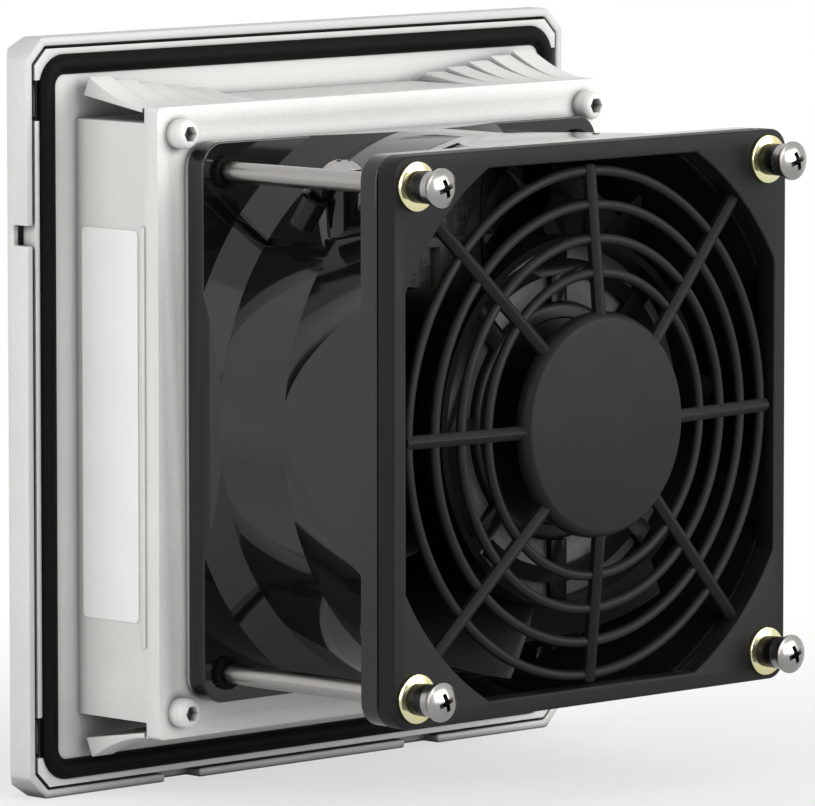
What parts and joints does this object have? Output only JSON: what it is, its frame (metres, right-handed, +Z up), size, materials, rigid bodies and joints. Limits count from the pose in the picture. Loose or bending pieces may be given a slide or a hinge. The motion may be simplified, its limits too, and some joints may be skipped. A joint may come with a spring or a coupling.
{
  "type": "filter fan",
  "caption": "Enclosure wall filter fan: square louvred cover, filter mat, sealed base housing with corner clamps, axial fan on long screws and a ring finger guard.",
  "frame": {"origin": "centre of the mounting plane, on the rear face of the flange", "axes": "+Y runs back into the enclosure, +Z is up, +X is the label side"},
  "size_m": [0.109, 0.0735, 0.109],
  "materials": {
    "cover_plastic": "fine spark-eroded grain",
    "housing_plastic": "fine spark-eroded grain",
    "filter_fleece": "loose bonded fleece",
    "seal_foam": "smooth foamed bead",
    "fan_black": "satin gloss",
    "guard_black": "satin",
    "impeller_black": "satin",
    "steel": "drawn",
    "bright_steel": "nickel plated",
    "zinc_yellow": "yellow zinc",
    "brass": "turned",
    "laminations": "stacked sheet",
    "copper_enamel": "enamelled wire",
    "insulator": "plain",
    "black_oxide": "black oxide",
    "light_metal": "pressed light alloy",
    "label_white": "bare printed film"
  },
  "bodies": {
    "housing": {"filter_mat": "filter_fleece", "support_grille": "housing_plastic", "base_housing": "housing_plastic", "flange_gasket": "seal_foam", "corner_screws": "housing_plastic", "fan_frame": "fan_black", "motor_base": "fan_black", "bearing_outer_rings": "steel", "stator_core": "laminations", "stator_insulators": "insulator", "stator_windings": "copper_enamel", "terminal_block": "fan_black", "spade_terminals": "bright_steel", "earth_screw": "bright_steel", "earth_lug": "black_oxide", "guard_frame": "guard_black", "guard_rings": "guard_black", "guard_spokes": "guard_black", "long_screws": "steel", "keeper_rings": "black_oxide", "guard_washers": "zinc_yellow", "spacer_sleeves": "black_oxide", "spring_washers": "bright_steel", "rating_label": "label_white"},
    "cover": {"design_cover": "cover_plastic", "cover_louvre": "cover_plastic"},
    "rotor": {"impeller_hub": "impeller_black", "impeller_blades": "impeller_black", "balance_plate": "light_metal", "plate_spider": "impeller_black", "rotor_cup": "steel", "rotor_ring": "laminations", "rotor_bush": "brass", "motor_shaft": "steel", "shaft_circlip": "black_oxide", "bearing_inner_rings": "steel", "bearing_balls": "bright_steel"},
    "clamp_top_left": {"clamp_top_left": "housing_plastic"},
    "clamp_top_right": {"clamp_top_right": "housing_plastic"},
    "clamp_bottom_left": {"clamp_bottom_left": "housing_plastic"},
    "clamp_bottom_right": {"clamp_bottom_right": "housing_plastic"}
  },
  "joints": [
    {"name": "impeller_spin", "type": "hinge", "parent": "housing", "child": "rotor", "pos_m": [0, 0.04, 0], "axis": [0, 1, 0], "continuous": true},
    {"name": "cover_pull", "type": "slide", "parent": "housing", "child": "cover", "axis": [0, -1, 0], "range_m": [0, 0.03]},
    {"name": "top_left_clamp_flex", "type": "hinge", "parent": "housing", "child": "clamp_top_left", "pos_m": [0.0335, 0.01378, 0.0446], "axis": [1, 0, 0], "range_deg": [0, 12], "stiffness_Nm_per_rad": 0.25},
    {"name": "top_right_clamp_flex", "type": "hinge", "parent": "housing", "child": "clamp_top_right", "pos_m": [-0.0335, 0.01378, 0.0446], "axis": [1, 0, 0], "range_deg": [0, 12], "stiffness_Nm_per_rad": 0.25},
    {"name": "bottom_left_clamp_flex", "type": "hinge", "parent": "housing", "child": "clamp_bottom_left", "pos_m": [0.0335, 0.01378, -0.0446], "axis": [-1, 0, 0], "range_deg": [0, 12], "stiffness_Nm_per_rad": 0.25},
    {"name": "bottom_right_clamp_flex", "type": "hinge", "parent": "housing", "child": "clamp_bottom_right", "pos_m": [-0.0335, 0.01378, -0.0446], "axis": [-1, 0, 0], "range_deg": [0, 12], "stiffness_Nm_per_rad": 0.25}
  ]
}
